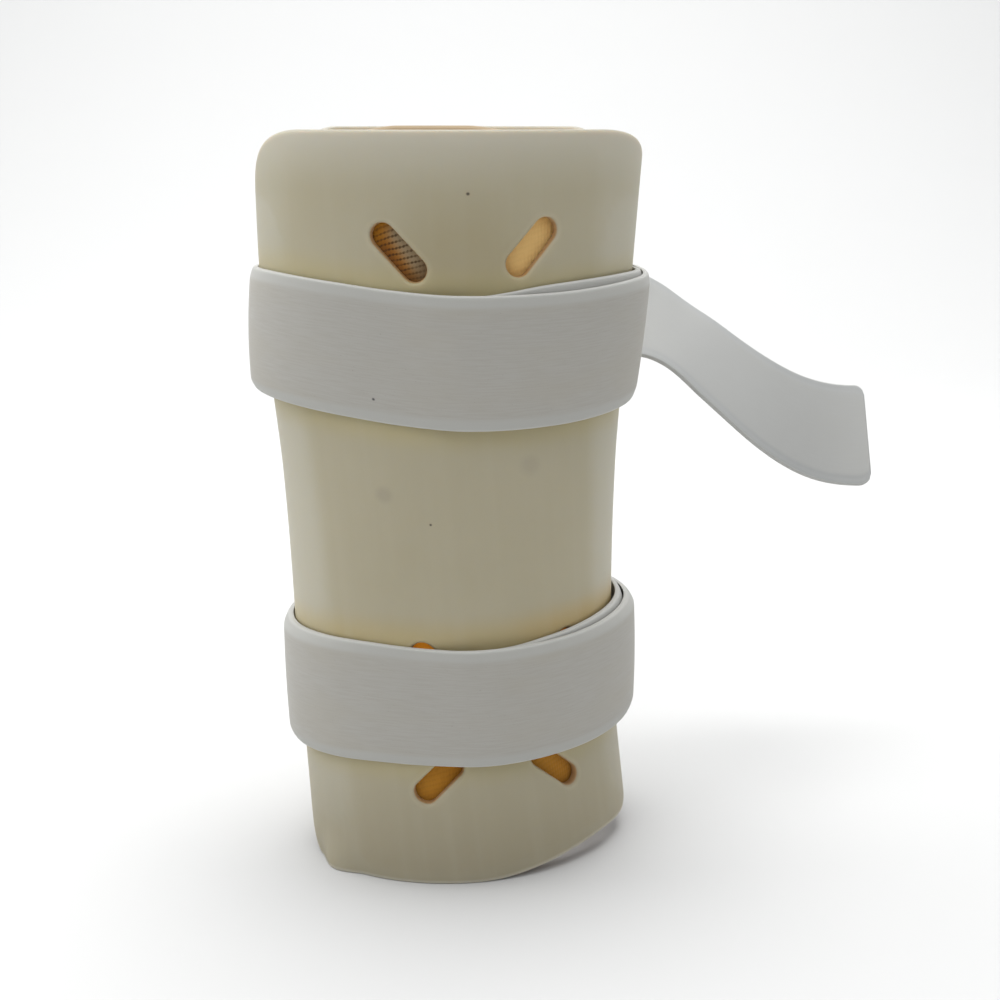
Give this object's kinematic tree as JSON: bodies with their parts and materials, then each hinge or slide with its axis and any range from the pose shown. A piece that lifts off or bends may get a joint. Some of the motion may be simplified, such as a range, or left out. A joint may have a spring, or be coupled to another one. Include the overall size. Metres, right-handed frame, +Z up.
{
  "type": "forearm fracture brace",
  "caption": "Bivalve forearm fracture brace: slotted ivory plastic front shell lapped over a plain back shell, foam-lined, held round the arm by white hook-and-loop straps.",
  "frame": {"origin": "middle of the whole bounding box, on the level plane that the lower rims of the shells stand on", "axes": "+Z up the forearm from the narrow wrist end to the wide elbow end, -Y out of the slotted front shell, +X towards the side that the free strap end points to"},
  "size_m": [0.2038, 0.1276, 0.2212],
  "materials": {
    "shell": "natural polyethylene, satin, slightly translucent",
    "liner": "knit face on thin foam",
    "strap": "white brushed loop face, woven edges"
  },
  "bodies": {
    "root": {"shell_front": "shell", "shell_back": "shell", "liner_front": "liner", "liner_back": "liner", "strap_upper": "strap", "strap_lower": "strap"}
  },
  "joints": []
}
